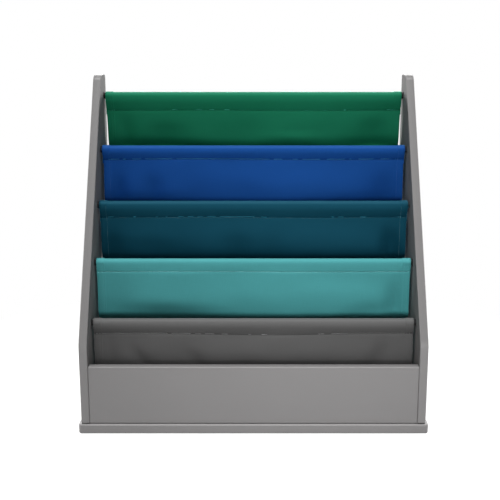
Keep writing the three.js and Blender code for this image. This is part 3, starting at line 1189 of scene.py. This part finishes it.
@dataclass
class Fasteners:
    """Fasteners of some kinds, which keep the CAD's shapes and get one finish."""

    finish: Material
    kinds: tuple[str, ...]

    def build(self, nodes: dict[str, Object]) -> list[Object]:
        """Gives the fasteners their finish.

        Args:
            nodes: The CAD nodes by name.

        Returns:
            The nodes of these kinds.
        """
        dressed = [node for name, node in nodes.items() if name.startswith(self.kinds)]
        for node in dressed:
            node.material_slots[0].material = self.finish
        return dressed


# Room, light and camera

class Reach(Enum):
    """How far off a softbox hangs, by the kind of its light."""

    FAR = "SUN"
    NEAR = "AREA"


@dataclass(frozen=True)
class Softbox:
    """A softbox that is far off and even, or near, where a grid narrows its light to its aim."""

    name: str
    place: Point
    strength: float
    spread: float
    reach: Reach = Reach.FAR
    aim: Point = (0.0, 0.0, 0.0)
    size: float = 0.6

    def build(self) -> None:
        """Hangs the lamp and points it at its aim."""
        data = bpy.data.lights.new(self.name, self.reach.value)
        data.energy = self.strength
        if self.reach is Reach.FAR:
            data.angle = math.radians(self.spread)
        else:
            data.shape = "RECTANGLE"
            data.size = data.size_y = self.size
            data.spread = math.radians(self.spread)
        lamp = bpy.data.objects.new(self.name, data)
        turn = (Vector(self.aim) - Vector(self.place)).to_track_quat("-Z", "Y").to_matrix().to_4x4()
        lamp.matrix_world = Matrix.Translation(self.place) @ turn
        bpy.context.scene.collection.objects.link(lamp)


@dataclass
class Studio:
    """Plain pale floor, soft lamps and a white surround."""

    white: Colour = (1.0, 1.0, 1.0)
    floor_half: float = 6.0
    floor_tones: Pair = (0.45, 0.9)
    shadow: float = 0.50
    shadow_start: float = 0.40
    shadow_fade: float = 0.45
    front_level: float = 0.05
    back_level: float = 0.12
    back_slope: float = 2.0
    back_start: float = 0.6
    lamps: Sequence[Softbox] = (
        Softbox("top_softbox", (-0.1, -0.75, 3.0), 4.9, 28.0),
        Softbox("left_softbox", (-3.0, 0.7, 0.16), 3.0, 8.0),
        Softbox("right_softbox", (3.0, 0.7, 0.16), 3.0, 8.0),
        Softbox("back_softbox", (0.0, 3.0, 1.8), 1.9, 36.0),
        Softbox("front_softbox", (0.16, -2.4, 0.52), 1.15, 30.0, Reach.NEAR, (0.11, 0.0, 0.30)),
    )

    def build(self) -> None:
        """Builds the floor, the lamps and the surround."""
        self.floor()
        for lamp in self.lamps:
            lamp.build()
        self.surround()

    def seen(self, bench: Bench) -> Signal:
        """1 for rays that show the background: from the camera, mirrored or through glass."""
        camera, glossy, through = (bench.add("ShaderNodeLightPath", output=name) for name in
                                   ("Is Camera Ray", "Is Glossy Ray", "Is Transmission Ray"))
        return camera.math("MAXIMUM", glossy).math("MAXIMUM", through)

    def floor(self) -> None:
        """A wide white floor that keeps the shelf's shadow."""
        sheet = bmesh.new()
        bmesh.ops.create_grid(sheet, x_segments=1, y_segments=1, size=self.floor_half)
        data = bpy.data.meshes.new("studio_floor")
        sheet.to_mesh(data)
        sheet.free()
        bench = MaterialBench("studio_floor")
        white = bench.add("ShaderNodeEmission", {"Color": self.white, "Strength": 1.0})
        seen = self.seen(bench)
        matt = bench.add("ShaderNodeBsdfDiffuse", {"Color": bench.tones(seen, self.white, self.floor_tones)})
        place = bench.coordinates("Object")
        away = bench.add("ShaderNodeVectorMath", {0: place}, "Value", operation="LENGTH")
        near = (1.0 - (away - self.shadow_start) / self.shadow_fade).clamped()
        share = seen * (1.0 - near * self.shadow)
        surface = bench.add("ShaderNodeMixShader", {0: share, 1: matt, 2: white})
        bench.add("ShaderNodeOutputMaterial", {"Surface": surface})
        data.materials.append(bench.made)
        floor = bpy.data.objects.new("studio_floor", data)
        bpy.context.scene.collection.objects.link(floor)

    def surround(self) -> None:
        """A white surround that is brighter behind the shelf than in front of it."""
        world = bpy.data.worlds.new("studio")
        world.use_nodes = True
        bpy.context.scene.world = world
        bench = Bench(world.node_tree)
        behind = bench.axis(bench.coordinates("Generated"), "Y")
        back = (behind * self.back_slope - self.back_start).clamped()
        level = self.front_level + back * (self.back_level - self.front_level)
        seen = self.seen(bench)
        strength = seen + (1.0 - seen) * level
        light = bench.add("ShaderNodeBackground", {"Color": self.white, "Strength": strength})
        bench.add("ShaderNodeOutputWorld", {"Surface": light})


@dataclass
class PhotoCamera:
    """Camera at the photograph's viewing angle."""

    place: Point = (0.0, -1.6424, 0.6568)
    pitch: float = 12.23
    lens: float = 64.8
    sensor: float = 36.0
    shift: float = -0.007

    def build(self) -> None:
        """Sets up the camera."""
        data = bpy.data.cameras.new("photo_camera")
        data.lens = self.lens
        data.sensor_width = self.sensor
        data.sensor_fit = "HORIZONTAL"
        data.shift_x = self.shift
        camera = bpy.data.objects.new("photo_camera", data)
        turn = Matrix.Rotation(math.radians(90.0 - self.pitch), 4, "X")
        camera.matrix_world = Matrix.Translation(self.place) @ turn
        bpy.context.scene.collection.objects.link(camera)
        bpy.context.scene.camera = camera
        bpy.context.scene.view_settings.view_transform = "Standard"


# The five slings, lowest first

def pocket(
    tint: str, row: int, depth: float, dye: Colour, sheen: Colour, thread: Colour, **shape: Any
) -> PocketSling:
    """A pocket in its row, named after its colour.

    Args:
        tint: Name of the colour.
        row: Row of its rods, from 1 at the bottom.
        depth: Depth of both sleeves.
        dye: Colour of the canvas.
        sheen: Colour of its fuzz.
        thread: Colour of its stitches.
        shape: Values for the sling's other fields.

    Returns:
        The pocket.
    """
    return PocketSling(
        tint + "_sling", f"pocket_sling_{row}", "pocket_cloth_" + tint,
        SlingCanvas(tint + "_canvas", dye, sheen), SewingThread(tint + "_thread", thread),
        (f"front_rod_{row}", f"rear_rod_{row}"), (depth, depth), **shape)


def slings() -> list[Sling]:
    """The four pockets and the backrest, with the folds that each has.

    Returns:
        The slings, lowest first.
    """
    grey = pocket(
        "grey", 1, 0.0207, (0.062, 0.061, 0.061), (0.73, 0.75, 0.75), (0.085, 0.085, 0.086),
        draw_in=0.0006, seam_waver=(0.0014, 1.2),
        folds=(
            Fold(-0.252, 0.045, 0.008, 0.014, -0.06), Fold(-0.213, 0.050, 0.010, 0.014, -0.08, 0.55),
            Fold(-0.113, 0.055, 0.012, 0.013, -0.07, 0.6), Fold(0.232, 0.044, 0.012, 0.014, -0.09, -0.3),
            Fold(0.000, 0.072, 0.400, 0.008, -0.10),
        ),
    )
    aqua = pocket(
        "aqua", 2, 0.0167, (0.041, 0.204, 0.212), (0.35, 0.88, 0.90), (0.15, 0.41, 0.43),
        draw_in=0.0010, bulge=0.0003, flare=0.05, pinch=0.0001, steep=0.0, groove=0.00016,
        folds=(
            Fold(-0.246, 0.062, 0.020, 0.014, -0.07), Fold(-0.241, 0.040, 0.020, 0.010, -0.04),
            Fold(-0.180, 0.084, 0.040, 0.009, -0.26), Fold(-0.120, 0.088, 0.050, 0.008, -0.24),
            Fold(0.260, 0.054, 0.012, 0.018, -0.16), Fold(0.222, 0.081, 0.030, 0.009, -0.12, -1.0),
            Fold(0.171, 0.043, 0.050, 0.009, 0.07), Fold(-0.059, 0.034, 0.050, 0.010, -0.05),
        ),
    )
    teal = pocket(
        "teal", 3, 0.0227, (0.0007, 0.0182, 0.0320), (0.13, 0.70, 1.00), (0.34, 0.52, 0.55),
        draw_in=0.0016,
        folds=(
            Fold(-0.267, 0.062, 0.015, 0.015, -0.18), Fold(-0.190, 0.070, 0.050, 0.010, -0.16, 0.6),
            Fold(-0.035, 0.064, 0.020, 0.014, -0.12), Fold(0.036, 0.064, 0.018, 0.012, -0.07),
            Fold(0.257, 0.058, 0.012, 0.014, -0.26, 0.1), Fold(0.144, 0.050, 0.060, 0.012, 0.05),
            Fold(0.000, 0.090, 0.400, 0.007, -0.20),
        ),
    )
    blue = pocket(
        "blue", 4, 0.0187, (0.0028, 0.031, 0.167), (0.13, 0.54, 1.00), (0.12, 0.18, 0.40),
        folds=(
            Fold(-0.258, 0.060, 0.010, 0.015, -0.18), Fold(-0.194, 0.058, 0.015, 0.014, -0.16),
            Fold(-0.190, 0.088, 0.070, 0.007, -0.14), Fold(-0.092, 0.062, 0.045, 0.016, -0.05),
            Fold(0.090, 0.056, 0.050, 0.016, 0.06), Fold(0.249, 0.062, 0.022, 0.018, -0.18),
            Fold(0.200, 0.088, 0.070, 0.007, -0.14),
        ),
    )
    green = BackrestSling(
        "green_sling", "backrest_sling", "backrest_cloth_green",
        SlingCanvas("green_canvas", (0.0029, 0.093, 0.040), (0.16, 0.98, 0.73)),
        SewingThread("green_thread", (0.004, 0.060, 0.032)), ("backrest_top_rod", "backrest_lower_rod"),
        (0.0278, 0.0130), draw_in=0.0016, pinch=0.0014, steep=0.10,
        folds=(
            Fold(-0.250, 0.050, 0.011, 0.014, -0.12), Fold(-0.172, 0.058, 0.024, 0.010, -0.17),
            Fold(-0.025, 0.056, 0.030, 0.014, -0.09), Fold(0.237, 0.051, 0.024, 0.012, -0.22),
            Fold(0.080, 0.074, 0.042, 0.006, 0.16), Fold(0.080, 0.088, 0.040, 0.006, -0.20),
            Fold(-0.190, 0.088, 0.070, 0.006, -0.22), Fold(0.235, 0.088, 0.050, 0.007, -0.26),
            Fold(-0.100, 0.096, 0.130, 0.005, -0.26),
        ),
    )
    return [grey, aqua, teal, blue, green]


def main() -> None:
    """Builds the shelf's looks piece by piece."""
    logging.basicConfig(level=logging.INFO, format="%(name)s: %(message)s")
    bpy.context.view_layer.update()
    nodes = frame["nodes"]
    PhotoCamera().build()
    Studio().build()
    boards = Boards(BoardPaint().material())
    pieces = [boards.build(nodes[name]) for name in boards.names]
    rods = Rods(RodCoating().material())
    rod_names = [name for name in nodes if name.endswith("_rod") or "_rod_" in name]
    pieces += [rods.build(name) for name in rod_names]
    pieces += [sling.build() for sling in slings()]
    pieces += Fasteners(ZincPlate().material(), ("base_screw", "cam_lock", "cam_bolt")).build(nodes)
    pieces += Fasteners(BeechWood().material(), ("wood_pin",)).build(nodes)
    for piece in pieces:
        log.info("built %s", piece.name)


if __name__ == "__main__":
    main()
